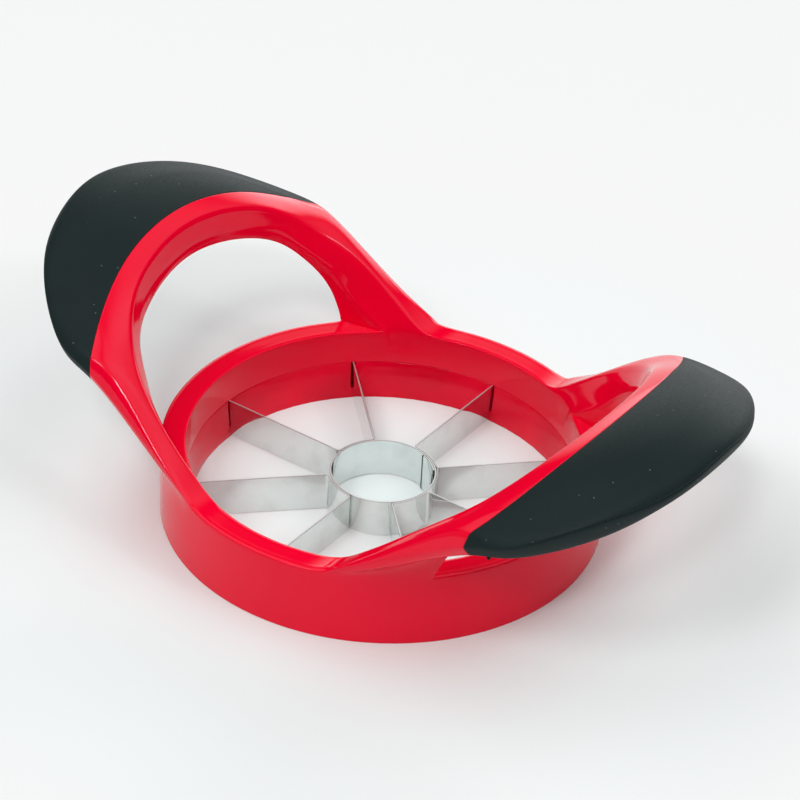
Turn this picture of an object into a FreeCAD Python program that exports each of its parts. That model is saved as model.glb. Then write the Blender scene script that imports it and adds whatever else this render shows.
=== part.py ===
import FreeCAD, Part
import math
import os

from FreeCAD import Vector

# Apple wedger: a ring of blades in a moulded frame with two raised handles, pushed down over an apple.
# Millimetres. The origin is the centre of the ring on the surface it stands on, +Z is up and
# the two handles lie along +X and -X.

# ---------------------------------------------------------------- ring of the frame
RING_R = 52.0             # outer radius of the frame's ring
RING_H = 18.15            # height of the deck, the flat top of the ring
OUTER_WALL = 2.2          # thickness of the ring's outer wall
DECK_T = 2.6              # thickness of the deck
DECK_W = 5.9              # width of the deck, from the ring's outer wall to the edge of the well
FLANGE_T = 2.0            # thickness of the flange that hangs from the deck's inner edge
FLANGE_LEAN = 0.6         # the flange's lower edge reaches this much further into the well
RING_EDGE = 0.9           # round along the ring's top outer edge
FOOT_EDGE = 0.4           # round along the ring's bottom outer edge

# ---------------------------------------------------------------- carrier of the blades
CARRIER_LEAN = 0.9        # the carrier's bottom reaches this much further into the well than its top
CARRIER_FIT = 0.12        # clearance between the carrier and the frame
SLOT_W = 1.0              # width of the slot that takes a blade's end
SLOT_L = 3.0              # how far a slot runs out from the carrier's inner edge
SLOT_DEPTH = 7.2          # how far a slot runs down from the carrier's top

# ---------------------------------------------------------------- blades and core
WEDGES = 8                # pieces that an apple is cut into
CORE_R = 12.5             # outer radius of the coring tube
SHEET_T = 0.45            # thickness of the steel
BLADE_H = 9.7             # height of the blades and the coring tube
BLADE_LIFT = 0.2          # the cutting edges stay this far above the table
BLADE_CLAMP = 0.1         # the blades stand this much above the carrier, where the flange clamps them
WELD_FIT = 0.03           # space between a blade strip and the coring tube
BEND_R = 0.7              # inside bend where a blade turns round the coring tube
TAB_FIT = 0.15            # clearance of a blade's tab at the slot's bottom and end
LAP_FROM = 40.0           # the coring tube's lap runs between these two bearings, in degrees
LAP_TO = 72.0

# ---------------------------------------------------------------- handles
# Each handle is an arch whose section is carried by five rails. A rail goes from the crown, at the
# middle of the handle, down one leg to the foot, and is mirrored for the other leg. A point gives
# how far it lies out from the ring's outer wall, across from the handle's middle, and up from the deck.
RIM = [(7.5, 0.0, 35.45), (6.2, 13.0, 34.15), (2.4, 25.0, 30.45),
       (-4.4, 33.9, 23.85), (-13.6, 39.4, 16.55), (-23.5, 41.6, 8.25)]
SHOULDER = [(32.5, 0.0, 39.05), (29.1, 16.3, 37.05), (21.1, 30.5, 31.55),
            (5.7, 41.2, 25.5), (-5.3, 43.5, 21.6), (-20.9, 46.3, 9.3)]
LIP = [(36.1, 0.0, 37.05), (33.4, 16.4, 34.05), (23.7, 32.0, 30.1),
       (10.1, 42.6, 23.75), (-1.2, 44.6, 19.75), (-18.9, 46.2, 8.6)]
KEEL = [(34.4, 0.0, 31.95), (32.2, 15.5, 30.4), (23.6, 29.5, 24.8),
        (9.9, 40.4, 19.6), (-0.9, 42.9, 16.65), (-17.9, 45.5, 7.15)]
EAVE = [(5.8, 0.0, 27.75), (5.0, 9.3, 26.95), (2.9, 18.2, 24.85),
        (-0.4, 26.1, 21.15), (-5.1, 31.2, 15.25), (-9.6, 34.6, 7.95)]
# Where the rails stand on the ring: bearing from the handle's middle, in degrees, for each rail.
RIM_BEARING = 66.3
SHOULDER_BEARING = 69.8
LIP_BEARING = 69.0
KEEL_BEARING = 67.4
RIDGE_BEARING = 54.0
EAVE_BEARING = 42.2
FOOT_SINK = 0.9           # the feet start this far inside the deck
FOOT_INSET = 0.2          # and this far inside its outer and inner edges
# How the faces between the rails bulge, from the crown to the last point above the foot.
CROWN_LIFT = [4.3, 4.1, 3.6, 2.9, 1.4, 0.3]     # the top above the line from rim to shoulder
BELLY_DROP = [6.2, 5.6, 4.2, 2.4, 0.0, -1.2]    # the underside below the line from keel to eave
RIDGE_BULGE = [0.4, 0.5, 0.7, 1.0, 1.6, 1.8]    # the ridge of the hole's wall, towards the hole
LIP_ROLL = [1.0, 1.0, 0.95, 0.7, 0.25, 0.0]     # the outer edge, from fully rolled over to a flat facet
CROWN_AT = 0.43           # where the top is lifted, as a share of the way from rim to shoulder
RIDGE_AT = 0.6            # where the ridge lies, as a share of the way from rim to eave
ROLL_DROP = 0.25          # the rolled edge turns down after this share of the drop from shoulder to lip
ROLL_TUCK = 0.05          # and stays this far inside the lip, as a share of the way from shoulder to lip
BEAD_PROUD = 0.15         # the bead below the lip stands proud by this share of the same way

# ---------------------------------------------------------------- grips
SEAM_R = 88.0             # the grip starts outside an upright cylinder of this radius,
SEAM_OUT = 11.6           # which stands this far out from the ring at the handle's middle
SEAM_GAP = 0.2            # groove between the grip and the red moulding
GRIP_WALL = 2.8           # thickness of the soft grip over the tongue inside it
GRIP_FIT = 0.1            # clearance between the tongue and the grip

TOP_CLEAR = 80.0          # taller than the whole object

BLADE_TOP = BLADE_LIFT + BLADE_H
CARRIER_H = BLADE_TOP - BLADE_CLAMP
DECK_INNER_R = RING_R - DECK_W
FLANGE_FOOT_R = DECK_INNER_R - FLANGE_LEAN
CARRIER_FOOT_R = FLANGE_FOOT_R - CARRIER_LEAN
SLOT_END_R = CARRIER_FOOT_R + SLOT_L


def polar(radius, bearing, z):
    angle = math.radians(bearing)
    return Vector(radius * math.cos(angle), radius * math.sin(angle), z)


def revolve(points):
    """A closed outline of (radius, height) points turned about the ring's axis."""
    corners = [Vector(r, 0, z) for r, z in points]
    outline = Part.makePolygon(corners + corners[:1])
    return Part.Face(outline).revolve(Vector(0, 0, 0), Vector(0, 0, 1), 360)


def rounded(shape, radius, height, size):
    """shape with its circular edge at that radius and height rounded."""
    edges = [e for e in shape.Edges
             if isinstance(e.Curve, Part.Circle)
             and abs(e.Curve.Radius - radius) < 0.01
             and abs(e.Curve.Center.z - height) < 0.01]
    return shape.makeFillet(size, edges)


# ---------------------------------------------------------------- handles: rails, faces, solids

def above_ring(points):
    return [Vector(RING_R + out, across, RING_H + up) for out, across, up in points]


def on_deck(radius, bearing):
    return polar(radius, bearing, RING_H - FOOT_SINK)


def towards(a, b, share):
    return a + (b - a) * share


def handle_rails():
    """The ten rows of points that carry a handle's section, each from the crown to the foot."""
    outer = RING_R - FOOT_INSET
    inner = DECK_INNER_R + FOOT_INSET
    rim = above_ring(RIM) + [on_deck(inner, RIM_BEARING)]
    shoulder = above_ring(SHOULDER) + [on_deck(outer, SHOULDER_BEARING)]
    lip = above_ring(LIP) + [on_deck(outer, LIP_BEARING)]
    keel = above_ring(KEEL) + [on_deck(outer, KEEL_BEARING)]
    eave = above_ring(EAVE) + [on_deck(outer, EAVE_BEARING)]
    up = Vector(0, 0, 1)
    top, roll, bead, belly, ridge = [], [], [], [], []
    for i, rolled in enumerate(LIP_ROLL):
        a, c, e, k, g = rim[i], shoulder[i], lip[i], keel[i], eave[i]
        overhang = e - c
        corner = Vector(e.x, e.y, c.z - ROLL_DROP * (c.z - e.z)) - overhang * ROLL_TUCK
        hole_side = (Vector(RING_R, 0, a.z) - a).normalize()
        top.append(towards(a, c, CROWN_AT) + up * CROWN_LIFT[i])
        roll.append(towards(towards(c, e, 0.5), corner, rolled))
        bead.append(towards(e, k, 0.5) + overhang * BEAD_PROUD * rolled)
        belly.append(towards(k, g, 0.5) - up * BELLY_DROP[i])
        ridge.append(towards(a, g, RIDGE_AT) + hole_side * RIDGE_BULGE[i])
    top.append(towards(rim[-1], shoulder[-1], 0.5))
    roll.append(towards(shoulder[-1], lip[-1], 0.5))
    bead.append(towards(lip[-1], keel[-1], 0.5))
    belly.append(on_deck(outer / math.cos(math.radians((KEEL_BEARING - EAVE_BEARING) / 2)),
                         (KEEL_BEARING + EAVE_BEARING) / 2))
    ridge.append(on_deck(inner, RIDGE_BEARING))
    return [rim, top, shoulder, roll, lip, bead, keel, belly, eave, ridge]


def inset(rails, depth):
    """The same rows moved towards the middle of each section."""
    moved = [[] for _ in rails]
    for points in zip(*rails):
        corners = [points[i] for i in (0, 2, 4, 6, 8)]
        centre = Vector(0, 0, 0)
        for p in corners:
            centre = centre + p * (1.0 / len(corners))
        for row, p in zip(moved, points):
            inward = centre - p
            row.append(p + inward * (depth / inward.Length))
    return moved


def rail_curve(half):
    """The smooth curve through a row of points and its mirror image."""
    mirrored = [Vector(p.x, -p.y, p.z) for p in half[:0:-1]]
    points = mirrored + half
    curve = Part.BSplineCurve()
    curve.interpolate(Points=points, Parameters=[float(i) for i in range(len(points))])
    return curve


def strip(rows):
    """A face across the given rows: straight across two, curved across three."""
    curves = [rail_curve(row) for row in rows]
    degree = len(rows) - 1
    surface = Part.BSplineSurface()
    surface.buildFromPolesMultsKnots(
        [c.getPoles() for c in curves],
        [degree + 1, degree + 1], curves[0].getMultiplicities(),
        [0.0, 1.0], curves[0].getKnots(),
        False, False, degree, curves[0].Degree)
    return surface


def arch(rails):
    """The closed solid of a handle whose section the rows carry."""
    rim, top, shoulder, roll, lip, bead, keel, belly, eave, ridge = rails
    strips = [strip([rim, top, shoulder]), strip([shoulder, roll, lip]), strip([lip, bead, keel]),
              strip([keel, belly, eave]), strip([eave, ridge]), strip([ridge, rim])]
    faces = [s.toShape() for s in strips]
    for end in (strips[0].bounds()[2], strips[0].bounds()[3]):
        edges = [s.vIso(end).toShape() for s in strips]
        faces.append(Part.Face(Part.Wire(Part.__sortEdges__(edges))))
    shell = Part.makeShell(faces)
    shell.sewShape()
    solid = Part.Solid(shell)
    if solid.Volume < 0:
        solid.reverse()
    return solid


def outside_seam(gap):
    """Everything beyond the seam cylinder of the +X handle."""
    reach = 2 * RING_R
    block = Part.makeBox(2 * reach, 2 * reach, TOP_CLEAR, Vector(0, -reach, 0))
    centre = Vector(RING_R + SEAM_OUT - SEAM_R, 0, 0)
    return block.cut(Part.makeCylinder(SEAM_R + gap, TOP_CLEAR, centre))


def turned(shape, bearing):
    copy = shape.copy()
    copy.rotate(Vector(0, 0, 0), Vector(0, 0, 1), bearing)
    return copy


def frame_ring():
    """The red ring: outer wall, deck and inner flange, open below."""
    channel_r = RING_R - OUTER_WALL
    ring = revolve([
        (channel_r, 0), (RING_R, 0), (RING_R, RING_H), (DECK_INNER_R, RING_H),
        (FLANGE_FOOT_R, CARRIER_H + CARRIER_FIT), (FLANGE_FOOT_R + FLANGE_T, CARRIER_H + CARRIER_FIT),
        (DECK_INNER_R + FLANGE_T, RING_H - DECK_T), (channel_r, RING_H - DECK_T)])
    ring = rounded(ring, RING_R, RING_H, RING_EDGE)
    return rounded(ring, RING_R, 0, FOOT_EDGE)


def frame():
    whole = arch(handle_rails())
    tongue = arch(inset(handle_rails(), GRIP_WALL))
    handle = whole.cut(outside_seam(0.0)).fuse(tongue)
    body = frame_ring()
    for bearing in (0, 180):
        body = body.fuse(turned(handle, bearing))
    return body.removeSplitter()


def grip():
    whole = arch(handle_rails())
    pocket = arch(inset(handle_rails(), GRIP_WALL - GRIP_FIT))
    return whole.common(outside_seam(SEAM_GAP)).cut(pocket)


# ---------------------------------------------------------------- carrier, blades and core

def carrier():
    """The ring that holds the blades, pushed up into the frame from below."""
    outer = RING_R - OUTER_WALL - CARRIER_FIT
    ring = revolve([(CARRIER_FOOT_R, 0), (outer, 0), (outer, CARRIER_H), (FLANGE_FOOT_R, CARRIER_H)])
    slot = Part.makeBox(SLOT_END_R, SLOT_W, SLOT_DEPTH, Vector(0, -SLOT_W / 2, CARRIER_H - SLOT_DEPTH))
    for i in range(WEDGES):
        ring = ring.cut(turned(slot, i * 360.0 / WEDGES))
    return ring


def core_ring():
    """The coring tube: a rolled strip whose inner end laps over the wall."""
    tube = Part.makeCylinder(CORE_R, BLADE_H, Vector(0, 0, BLADE_LIFT))
    bore = Part.makeCylinder(CORE_R - SHEET_T, BLADE_H, Vector(0, 0, BLADE_LIFT))
    lap_r = CORE_R - SHEET_T
    lap_bore = Part.makeCylinder(lap_r - SHEET_T, BLADE_H, Vector(0, 0, BLADE_LIFT))
    wedge = Part.makeCylinder(lap_r + SHEET_T / 2, BLADE_H, Vector(0, 0, BLADE_LIFT),
                              Vector(0, 0, 1), LAP_TO - LAP_FROM)
    lap = turned(wedge, LAP_FROM).cut(lap_bore)
    return tube.cut(bore).fuse(lap).removeSplitter()


def strip_side(offset, reach):
    """One side of a blade strip seen from above, as its edges from the first blade's end to the second's."""
    step = math.radians(360.0 / WEDGES)
    centre_r = CORE_R + WELD_FIT + SHEET_T / 2
    bend = BEND_R + SHEET_T / 2
    bend_x = math.sqrt((centre_r + bend) ** 2 - bend ** 2)
    turn = math.atan2(bend, bend_x)

    def on_bend(share):
        angle = -math.pi / 2 - share * (math.pi / 2 - turn)
        radius = bend - offset
        return Vector(bend_x + radius * math.cos(angle), bend + radius * math.sin(angle), 0)

    def on_wrap(angle):
        return Vector((centre_r + offset) * math.cos(angle), (centre_r + offset) * math.sin(angle), 0)

    def mirrored(p):
        cos, sin = math.cos(step), math.sin(step)
        return Vector(cos * p.x + sin * p.y, sin * p.x - cos * p.y, 0)

    first = [Vector(reach, offset, 0), on_bend(0), on_bend(0.5), on_bend(1)]
    last = [mirrored(p) for p in first]
    return [Part.LineSegment(first[0], first[1]).toShape(),
            Part.Arc(first[1], first[2], first[3]).toShape(),
            Part.Arc(first[3], on_wrap(step / 2), last[3]).toShape(),
            Part.Arc(last[3], last[2], last[1]).toShape(),
            Part.LineSegment(last[1], last[0]).toShape()]


def strip_layer(reach, low, high):
    """The bent strip between two heights, with its blades reaching out to that radius."""
    near = strip_side(-SHEET_T / 2, reach)
    far = strip_side(SHEET_T / 2, reach)
    ends = [Part.LineSegment(near[i].Vertexes[v].Point, far[i].Vertexes[v].Point).toShape()
            for i, v in ((0, 0), (-1, 1))]
    outline = Part.Wire(Part.__sortEdges__(near + far + ends))
    layer = Part.Face(outline).extrude(Vector(0, 0, high - low))
    layer.translate(Vector(0, 0, low))
    return layer


def blade_strip(bearing):
    """Two blades and the length of strip between them that is wrapped round the coring tube."""
    tab_foot = CARRIER_H - SLOT_DEPTH + TAB_FIT
    blades = strip_layer(CARRIER_FOOT_R - TAB_FIT, BLADE_LIFT, tab_foot)
    tabs = strip_layer(SLOT_END_R - TAB_FIT, tab_foot, BLADE_TOP)
    return turned(blades.fuse(tabs).removeSplitter(), bearing)


def main():
    os.makedirs("parts", exist_ok=True)
    handle_grip = grip()
    nodes = {
        "frame": frame(),
        "blade_carrier": carrier(),
        "core_ring": core_ring(),
        "grip_right": handle_grip,
        "grip_left": turned(handle_grip, 180),
    }
    for i in range(WEDGES // 2):
        nodes["blade_strip_%d" % (i + 1)] = blade_strip((2 * i + 1) * 360.0 / WEDGES)
    for name, shape in nodes.items():
        shape.exportStep("parts/%s.step" % name)
        box = shape.BoundBox
        print("%-14s valid %s solids %d faces %d volume %.1f  x %.2f..%.2f y %.2f..%.2f z %.2f..%.2f" % (
            name, shape.isValid(), len(shape.Solids), len(shape.Faces), shape.Volume,
            box.XMin, box.XMax, box.YMin, box.YMax, box.ZMin, box.ZMax))


main()
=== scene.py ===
import math

import bmesh
import bpy
from mathutils import Matrix, Vector


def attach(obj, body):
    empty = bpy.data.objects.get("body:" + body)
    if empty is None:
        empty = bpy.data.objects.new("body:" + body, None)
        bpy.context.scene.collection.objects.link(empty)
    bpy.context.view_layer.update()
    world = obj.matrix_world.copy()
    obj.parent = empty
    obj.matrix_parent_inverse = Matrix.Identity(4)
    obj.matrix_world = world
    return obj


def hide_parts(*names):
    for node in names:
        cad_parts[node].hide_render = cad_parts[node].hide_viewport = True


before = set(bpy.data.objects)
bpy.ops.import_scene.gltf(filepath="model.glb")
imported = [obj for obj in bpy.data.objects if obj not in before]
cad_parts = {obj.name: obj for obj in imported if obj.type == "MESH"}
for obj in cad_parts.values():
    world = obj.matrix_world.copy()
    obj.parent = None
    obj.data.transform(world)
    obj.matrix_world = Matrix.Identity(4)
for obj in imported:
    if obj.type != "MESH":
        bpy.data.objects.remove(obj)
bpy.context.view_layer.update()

# Apple wedger: a moulded red frame with two raised soft-grip handles, and a ring of steel blades.
# Lengths are in millimetres and become metres where a mesh is made.
# +X runs from the ring's centre to the right handle, +Z is up.
MM = 0.001

# ---------------------------------------------------------------- ring of the frame
RING_R = 52.0                  # outer radius of the ring
RING_H = 18.15                 # height of the deck
WELL_R = 46.1                  # inner edge of the deck
OUTER_WALL = 2.2               # thickness of the outer wall
DECK_T = 2.6                   # thickness of the deck
FLANGE_T = 2.0                 # thickness of the flange below the deck's inner edge
FLANGE_FOOT_R = 45.5           # inner radius of the flange at its lower edge
FLANGE_FOOT_Z = 9.92           # height of that edge
DECK_EDGE = 0.8                # round along the deck's outer edge
WELL_EDGE = 0.45               # round along the deck's inner edge
FOOT_EDGE = 0.35               # round along the ring's bottom
FLANGE_LIP = 0.2               # how near to the flange's corners its cage has a row
FLANGE_ROWS = [12.2, RING_H - 3.0]           # heights of the cage's other rows on the flange,
WALL_ROWS = [RING_H - 3.2, 10.5, 5.5, 1.2]   # on the outer wall
CHANNEL_ROW = 7.5                            # and in the channel between the two
PLAIN_WALL_FOOT = 3 * FOOT_EDGE    # the ring's walls are plain from this height,
PLAIN_WALL_H = 11.0            # up to this one,
PLAIN_WALL_END = 14.5          # and have gone over into the blend below the legs at this one
WALL_WAVE = 0.1                # how far subdivision can leave them from round

# ---------------------------------------------------------------- handles
# Five rails carry the section of a handle. A rail runs from the crown at the middle of the handle
# down one leg. A point is how far it lies out from the ring's wall, across, and up from the deck.
RIM = [(7.5, 0.0, 35.45), (6.2, 13.0, 34.15), (2.4, 25.0, 30.45),
       (-4.4, 33.9, 23.85), (-13.6, 39.4, 16.55), (-23.5, 41.6, 8.25)]
SHOULDER = [(32.5, 0.0, 39.05), (29.1, 16.3, 37.05), (21.1, 30.5, 31.55),
            (5.7, 41.2, 25.5), (-5.3, 43.5, 21.6), (-20.9, 46.3, 9.3)]
LIP = [(36.1, 0.0, 37.05), (33.4, 16.4, 34.05), (23.7, 32.0, 30.1),
       (10.1, 42.6, 23.75), (-1.2, 44.6, 19.75), (-18.9, 46.2, 8.6)]
KEEL = [(34.4, 0.0, 31.95), (32.2, 15.5, 30.4), (23.6, 29.5, 24.8),
        (9.9, 40.4, 19.6), (-0.9, 42.9, 16.65), (-17.9, 45.5, 7.15)]
EAVE = [(5.8, 0.0, 27.75), (5.0, 9.3, 26.95), (2.9, 18.2, 24.85),
        (-0.4, 26.1, 21.15), (-5.1, 31.2, 15.25), (-9.6, 34.6, 7.95)]
# Where the rails stand on the deck: their bearings from the handle's middle, in degrees.
RIM_BEARING = 66.3
SHOULDER_BEARING = 69.8
LIP_BEARING = 69.0
KEEL_BEARING = 67.4
RIDGE_BEARING = 54.0
EAVE_BEARING = 42.2
# How the faces between the rails bulge, from the crown to the last point above the foot. The top
# rises, the belly hangs down, and the wall of the finger hole stands out into the hole.
CROWN_LIFT = [4.3, 4.1, 3.6, 2.9, 1.4, 0.3]
BELLY_DROP = [6.2, 5.6, 4.2, 2.4, 0.0, -1.2]
RIDGE_BULGE = [0.4, 0.5, 0.7, 1.0, 1.6, 1.8]
LIP_ROLL = [1.0, 1.0, 0.95, 0.7, 0.25, 0.0]  # 1 where shoulder and lip are one round, 0 where flat
CROWN_AT = 0.43                # where the top is highest, from rim to shoulder
RIDGE_AT = 0.6                 # where the hole's wall bulges most, from rim to eave
ROLL_DROP = 0.25               # the round's corner lies this share of the way from shoulder to lip,
ROLL_TUCK = 0.05               # drawn in by this share of the lip's overhang,
BEAD_PROUD = 0.15              # and the bead below the lip stands out by this share of it
FOOT = len(RIM)                # a rail's last knot, where it stands on the deck
KNOT_STEP = 0.3                # the sections of a handle are this many knots apart,
BLENDED_STEPS = 2              # and the lowest one above the blend is this many steps from the foot
SHORTEST = 0.01                # least width that a face across a handle is reckoned with

# How far from a rail its crease starts to bend.
RIM_CREASE = 0.9
GRIP_SHOULDER_CREASE = 6.0
LEG_SHOULDER_CREASE = 1.3
LIP_CREASE = 0.7
KEEL_CREASE = 1.0
EAVE_CREASE = 0.8
RIDGE_CREASE = 0.8
GROOVE_CREASE = 0.3
WIDEST_CREASE = 0.34           # a crease takes up no more than this share of a face
SHOULDER_TURN = (2.7, 3.7)     # the knots between which the shoulder turns from round to creased
# How far from the line where a handle stands on the ring the two start to blend.
TOP_BLEND = 3.2
OUTER_BLEND = 3.5
INNER_BLEND = 3.0
HOLE_BLEND = 0.8
OUTER_TAIL = 2.0               # how far the cage's next row follows the blend down the outer wall
INNER_TAIL = 1.4               # and down the flange
LEG_FADE = (3, 5)              # columns in which the blend sets in at the hole and ends at the top
UNDER_ARCH_L = 40.0            # length of deck from below an arch's middle to the hole's wall
OPEN_DECK_L = 17.0             # and from a leg to the middle between the handles
ROUNDING = 0.28                # a corner gives way by this share of its distance to the bend's ends

# ---------------------------------------------------------------- grips
SEAM_R = 88.0                  # a grip starts outside an upright cylinder of this radius,
SEAM_X = RING_R + 11.6 - SEAM_R    # whose axis is here
RED_EDGE = 0.18                # round of the red edge along the seam
GRIP_EDGE = 0.1                # round of the grip's edge along the seam
SEAM_DEPTH = 0.4               # depth of the seam's walls below the surface
SEAM_MARGIN = 0.15             # strip beside the seam that follows the surface exactly
GATE_KNOT = 3.5                # where on the keel the grip was gated, in knots from the crown
GATE_R = 0.45                  # radius of the stub that is left there
PARTING_DEPTH = 0.55           # depth of the groove along the grip's lip
GROOVE_START = 0.1             # depth from which its sides are crisp
GROOVE_END = (2.2, 3.4)        # the knots between which it runs out
GRIP_LENGTH = 5.1              # how far the handle goes on before the seam cuts it off, in knots
GRIP_GAP = 0.02                # space between the grip's wall and the red one in the seam
SEAM_REACH = 0.12              # points this near to the cut slide onto it,
ON_SEAM = 0.02                 # and points this near are taken as on it
STEEPEST = 0.3                 # least slope across the seam that a slide reckons with

# ---------------------------------------------------------------- carrier, blades and core
CARRIER_R = 49.68              # outer radius of the carrier
CARRIER_TOP_R = 45.5           # inner radius at the top
CARRIER_FOOT_R = 44.6          # inner radius at the bottom
CARRIER_H = 9.8
SLOT_W = 1.0                   # width of the slots that hold the blades' ends
SLOT_END_R = 47.6              # radius at which a slot ends
SLOT_FOOT = 2.6                # height of a slot's bottom
CARRIER_EDGE = 0.15            # round of the carrier's edges
CARRIER_CRISP = 40.0           # edges of the carrier sharper than this are rounded, in degrees
WEDGES = 8
CORE_R = 12.5                  # outer radius of the coring tube
SHEET_T = 0.45                 # thickness of the steel
BLADE_FOOT = 0.2               # height of the cutting edges
BLADE_TOP = 9.9                # height of the blades' backs
WELD_FIT = 0.03                # space between a blade strip and the coring tube
BEND_R = 0.7                   # inside bend where a blade turns round the tube
TAB_FIT = 0.15                 # clearance of a tab in its slot
NOTCH_SLOPE = 0.01             # length over which the notch below a tab rises
LAP_FIT = 0.01                 # space between the lap and the tube's wall
TUBE_STEPS = 96                # straight lengths round the tube,
LAP_STEPS = 12                 # along its lap,
WRAP_STEPS = 8                 # along a strip's wrap round the tube,
BEND_STEPS = 5                 # in one of its bends
BLADE_STEPS = 8                # and along a blade
STEEL_CRISP = 25.0             # edges of the steel sharper than this stay sharp, in degrees
LAP_FROM, LAP_TO = 40.0, 72.0  # bearings of the lapped end inside the tube
LAP_SPRING = [0.02, 0.07, 0.15, 0.25]    # how far its last points stand off the tube
LAP_SHADOW_MARK = -1.0                 # marks the lapped end's last length, painted with a dark shadow line, in the strips' UV map
BURR = 0.06                    # round of the steel's upper edges
GRIND = 0.9                    # height of the ground bevel along the cutting edge
CUTTING_EDGE_T = 0.08          # thickness left at the cutting edge

DECK_STEPS = 8                 # quads across the deck and across a handle's top
ROLL_STEPS = 3
BEAD_STEPS = 4
BELLY_STEPS = 7
SIDE_STEPS = ROLL_STEPS + BEAD_STEPS + BELLY_STEPS
WEDGE_COLUMNS = 8              # columns of the carrier's mesh from one slot to the next
UNDER_ARCH_STEPS = 6           # quads along the deck below an arch, to its middle
OPEN_DECK_STEPS = 5            # quads along the deck between the handles, to its middle
SMOOTHING = 2                  # rounds of subdivision
CAGE_GROWTH = 0.8              # share of the rounds' shrinking that the cage makes up for each time


# ================================================================ small tools

def polar(radius, bearing, z):
    """A point at a radius and a bearing in degrees round the ring's axis, at a height."""
    angle = math.radians(bearing)
    return Vector((radius * math.cos(angle), radius * math.sin(angle), z))


def bearing_of(point):
    return math.degrees(math.atan2(point.y, point.x))


def mix(a, b, share):
    return a + (b - a) * share


def ramp(value, low, high):
    """0 below low, 1 above high, smooth between."""
    share = min(max((value - low) / (high - low), 0.0), 1.0)
    return share * share * (3 - 2 * share)


def spread(count, start, end):
    """Shares from 0 to 1 in count steps, of which the first is start and the last is end long."""
    inner = count - 2
    return [0.0] + [start + (1 - start - end) * i / inner for i in range(inner + 1)] + [1.0]


def natural_spline(points):
    """A smooth curve through evenly spaced knots, as a function of the knot's number."""
    count = len(points)
    slack = [0.0] * count
    rest = [Vector((0, 0, 0)) for _ in points]
    bends = [Vector((0, 0, 0)) for _ in points]
    for i in range(1, count - 1):
        pull = 6 * (points[i - 1] - 2 * points[i] + points[i + 1])
        pivot = 4 - slack[i - 1]
        slack[i] = 1 / pivot
        rest[i] = (pull - rest[i - 1]) / pivot
    for i in range(count - 2, 0, -1):
        bends[i] = rest[i] - slack[i] * bends[i + 1]

    def at(knot):
        i = min(max(int(math.floor(knot)), 0), count - 2)
        b = knot - i
        a = 1 - b
        return (points[i] * a + points[i + 1] * b
                + (bends[i] * (a ** 3 - a) + bends[i + 1] * (b ** 3 - b)) / 6)
    return at


def bezier(a, b, c, t):
    return a * (1 - t) ** 2 + b * (2 * t * (1 - t)) + c * t ** 2


def mesh_object(name, bm):
    """A smooth-shaded object in metres from a bmesh in millimetres."""
    for face in bm.faces:
        face.smooth = True
    mesh = bpy.data.meshes.new(name)
    bm.to_mesh(mesh)
    bm.free()
    mesh.transform(Matrix.Scale(MM, 4))
    piece = bpy.data.objects.new(name, mesh)
    bpy.context.scene.collection.objects.link(piece)
    return piece


def subdivided(bm, levels):
    """The bmesh after rounds of Catmull-Clark subdivision. The cage is first grown by as much as
    the rounds would draw it in, so that the smooth surface runs through the cage's own points."""
    mesh = bpy.data.meshes.new("cage")
    bm.to_mesh(mesh)
    bm.free()
    cage = bpy.data.objects.new("cage", mesh)
    bpy.context.scene.collection.objects.link(cage)
    modifier = cage.modifiers.new("Smooth", "SUBSURF")
    modifier.levels = modifier.render_levels = levels
    wanted = [vert.co.copy() for vert in mesh.vertices]
    for fitting in (True, True, False):
        mesh.update()
        bpy.context.view_layer.update()
        graph = bpy.context.evaluated_depsgraph_get()
        smooth = bpy.data.meshes.new_from_object(cage.evaluated_get(graph))
        if fitting:
            for place, vert, drawn in zip(wanted, mesh.vertices, smooth.vertices):
                vert.co += (place - drawn.co) * CAGE_GROWTH
            bpy.data.meshes.remove(smooth)
    result = bmesh.new()
    result.from_mesh(smooth)
    bpy.data.objects.remove(cage)
    bpy.data.meshes.remove(mesh)
    bpy.data.meshes.remove(smooth)
    return result


# ================================================================ nodes

class Value:
    """A node socket that takes part in Python arithmetic."""

    def __init__(self, shader, socket):
        self.shader = shader
        self.socket = socket

    def join(self, operation, first, second):
        node = self.shader.node("ShaderNodeMath", {"operation": operation}, {0: first, 1: second})
        return node.out()

    def __add__(self, other):
        return self.join("ADD", self, other)

    def __sub__(self, other):
        return self.join("SUBTRACT", self, other)

    def __rsub__(self, other):
        return self.join("SUBTRACT", other, self)

    def __mul__(self, other):
        return self.join("MULTIPLY", self, other)

    def __gt__(self, other):
        return self.join("GREATER_THAN", self, other)

    __radd__ = __add__
    __rmul__ = __mul__


class Made:
    """A node that has been made, whose outputs become values."""

    def __init__(self, shader, node):
        self.shader = shader
        self.raw = node

    def out(self, name=0):
        return Value(self.shader, self.raw.outputs[name])


COLOUR_IN = 6                  # the first colour among a Mix node's inputs
COLOUR_OUT = 2                 # and the mixed one among its outputs


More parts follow.
